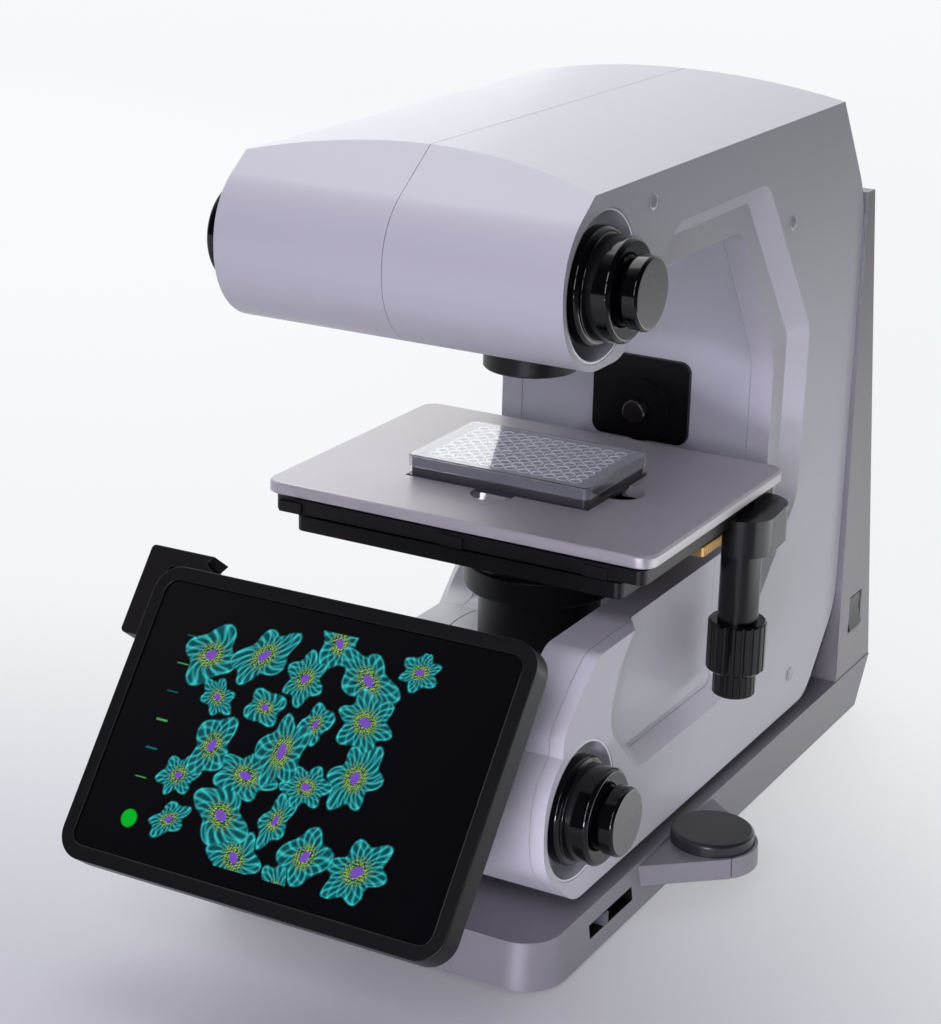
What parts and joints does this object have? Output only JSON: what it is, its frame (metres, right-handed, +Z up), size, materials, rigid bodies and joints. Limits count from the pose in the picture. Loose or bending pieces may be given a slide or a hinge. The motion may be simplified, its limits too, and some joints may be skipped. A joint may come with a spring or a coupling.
{
  "type": "inverted microscope",
  "caption": "Inverted cell microscope with C-shaped body, geared moving stage, well plate, objective turret, condenser and tilting tablet screen.",
  "frame": {"origin": "where the optical axis meets the bench, on the underside of the base pad", "axes": "+X to the user's right, +Y back towards the column, +Z up along the optical axis"},
  "size_m": [0.3336, 0.6506, 0.4756],
  "materials": {
    "casting": "cast, satin mid grey paint",
    "column_paint": "cast, satin mid grey paint",
    "pad": "matt black",
    "shell": "satin cool white",
    "cover": "satin cool white",
    "throat": "satin cool grey white",
    "frame_metal": "machined",
    "bolt_steel": "plain steel",
    "cup": "turned bright bowls",
    "bush": "turned",
    "cap": "domed white grey caps",
    "box": "satin black",
    "box_knob": "turned",
    "stage_frame": "anodised grey",
    "rail": "ground",
    "rack": "brassy strip",
    "lamp": "milky diffuser",
    "inlet": "black socket",
    "belt": "black belt",
    "carriage": "anodised warm grey",
    "stage_plate": "anodised warm grey with bright edges",
    "drive": "black satin",
    "knob_black": "glossy black",
    "shaft": "ground",
    "plate_plastic": "clear plastic",
    "lid_plastic": "clear plastic",
    "drum": "black anodised",
    "turret": "black anodised",
    "objective": "black plated barrels",
    "condenser": "black anodised",
    "lens": "clear lens",
    "tablet_shell": "dark",
    "screen": "black glossy glass",
    "case": "satin black",
    "grip": "dark grey",
    "bracket": "black satin",
    "dial": "dark grey dial",
    "switch": "black rocker",
    "slider": "black tab"
  },
  "bodies": {
    "stand": {"base_casting": "casting", "base_pad": "pad", "rear_column": "column_paint", "shell_right": "shell", "shell_left": "shell", "lower_cover": "cover", "throat_cover": "throat", "rear_cover": "cover", "chassis": "frame_metal", "frame_bolts": "bolt_steel", "knob_cups": "cup", "shaft_bushes": "bush", "screw_caps": "cap", "throat_box": "box", "stage_frame": "stage_frame", "stage_rails_y": "rail", "rack_y": "rack", "focus_rail": "rail", "condenser_rail": "rail", "lamp_module": "lamp", "power_inlet": "inlet", "mount_arm": "bracket", "focus_belt": "belt", "condenser_belt": "belt"},
    "carriage_y": {"mid_carriage": "carriage", "stage_rails_x": "rail", "drive_housing": "drive", "stage_belt": "belt"},
    "stage": {"stage_plate": "stage_plate"},
    "knob_y_shaft": {"knob_y": "knob_black", "pinion_y": "shaft"},
    "knob_x_shaft": {"knob_x": "knob_black", "shaft_x": "shaft"},
    "plate": {"well_plate": "plate_plastic"},
    "lid": {"plate_lid": "lid_plastic"},
    "focus": {"focus_carriage": "drum"},
    "turret": {"turret_disc": "turret", "objectives": "objective"},
    "focus_wheel": {"focus_pinion": "shaft"},
    "condenser": {"condenser_barrel": "condenser", "condenser_lens": "lens"},
    "condenser_wheel": {"condenser_pinion": "shaft"},
    "coarse_low": {"coarse_shaft_low": "shaft", "coarse_knobs_low": "knob_black"},
    "fine_low": {"fine_shaft_low": "shaft", "fine_knob_low": "knob_black"},
    "coarse_high": {"coarse_shaft_high": "shaft", "coarse_knobs_high": "knob_black"},
    "fine_high": {"fine_shaft_high": "shaft", "fine_knob_high": "knob_black"},
    "tablet": {"tablet_body": "tablet_shell", "tablet_glass": "screen", "tablet_case": "case", "tablet_bracket": "bracket", "hinge_pin": "bolt_steel", "holder_grip": "grip"},
    "dial": {"light_dial": "dial"},
    "rocker": {"rocker": "switch"},
    "slider": {"base_slider": "slider"},
    "box_turn": {"box_knob": "box_knob"}
  },
  "joints": [
    {"name": "stage_y", "type": "slide", "parent": "stand", "child": "carriage_y", "axis": [0, 1, 0], "range_m": [-0.035, 0.035]},
    {"name": "stage_x", "type": "slide", "parent": "carriage_y", "child": "stage", "axis": [1, 0, 0], "range_m": [-0.055, 0.055]},
    {"name": "knob_y_turn", "type": "hinge", "parent": "carriage_y", "child": "knob_y_shaft", "pos_m": [0.13, 0.045, 0.14], "axis": [0, 0, 1], "range_deg": [-252, 252]},
    {"name": "knob_x_turn", "type": "hinge", "parent": "carriage_y", "child": "knob_x_shaft", "pos_m": [0.13, 0.045, 0.112], "axis": [0, 0, 1], "range_deg": [-472, 472]},
    {"name": "plate_lift", "type": "slide", "parent": "stage", "child": "plate", "axis": [0, 0, 1], "range_m": [0, 0.02]},
    {"name": "lid_lift", "type": "slide", "parent": "plate", "child": "lid", "axis": [0, 0, 1], "range_m": [0, 0.02]},
    {"name": "focus_z", "type": "slide", "parent": "stand", "child": "focus", "axis": [0, 0, 1], "range_m": [-0.008, 0.008]},
    {"name": "focus_pinion_turn", "type": "hinge", "parent": "stand", "child": "focus_wheel", "pos_m": [0, -0.03, 0.086], "axis": [1, 0, 0], "range_deg": [-77, 77]},
    {"name": "coarse_low_turn", "type": "hinge", "parent": "stand", "child": "coarse_low", "pos_m": [0, -0.134, 0.096], "axis": [1, 0, 0], "range_deg": [-77, 77]},
    {"name": "fine_low_turn", "type": "hinge", "parent": "stand", "child": "fine_low", "pos_m": [0, -0.134, 0.096], "axis": [1, 0, 0], "continuous": true},
    {"name": "turret_turn", "type": "hinge", "parent": "focus", "child": "turret", "pos_m": [0, 0.022, 0.175], "axis": [0, 0, 1], "continuous": true},
    {"name": "condenser_z", "type": "slide", "parent": "stand", "child": "condenser", "axis": [0, 0, 1], "range_m": [-0.01, 0.01]},
    {"name": "condenser_pinion_turn", "type": "hinge", "parent": "stand", "child": "condenser_wheel", "pos_m": [0, -0.042, 0.43], "axis": [1, 0, 0], "range_deg": [-96, 96]},
    {"name": "coarse_high_turn", "type": "hinge", "parent": "stand", "child": "coarse_high", "pos_m": [0, -0.134, 0.411], "axis": [1, 0, 0], "range_deg": [-96, 96]},
    {"name": "fine_high_turn", "type": "hinge", "parent": "stand", "child": "fine_high", "pos_m": [0, -0.134, 0.411], "axis": [1, 0, 0], "continuous": true},
    {"name": "tablet_tilt", "type": "hinge", "parent": "stand", "child": "tablet", "pos_m": [-0.01129, -0.22033, 0.1248], "axis": [0.999, -0.0356, 0.0274], "range_deg": [-10, 23]},
    {"name": "dial_turn", "type": "hinge", "parent": "stand", "child": "dial", "pos_m": [0.142, -0.004, 0.031], "axis": [0, 0, 1], "range_deg": [-135, 135]},
    {"name": "rocker_tilt", "type": "hinge", "parent": "stand", "child": "rocker", "pos_m": [0.113, 0.303, 0.077], "axis": [0, 1, 0], "range_deg": [0, 10]},
    {"name": "slider_slide", "type": "slide", "parent": "stand", "child": "slider", "axis": [0, 1, 0], "range_m": [-0.017, 0.033]},
    {"name": "box_knob_turn", "type": "hinge", "parent": "stand", "child": "box_turn", "pos_m": [0, 0.156, 0.248], "axis": [0, 1, 0], "range_deg": [-135, 135]}
  ],
  "couplings": [
    {"joint": "knob_y_turn", "follows": "stage_y", "rad_per_m": 125},
    {"joint": "knob_x_turn", "follows": "stage_x", "rad_per_m": -149.25},
    {"joint": "focus_pinion_turn", "follows": "focus_z", "rad_per_m": 166.67},
    {"joint": "coarse_low_turn", "follows": "focus_z", "rad_per_m": 166.67},
    {"joint": "condenser_pinion_turn", "follows": "condenser_z", "rad_per_m": 166.67},
    {"joint": "coarse_high_turn", "follows": "condenser_z", "rad_per_m": 166.67}
  ]
}
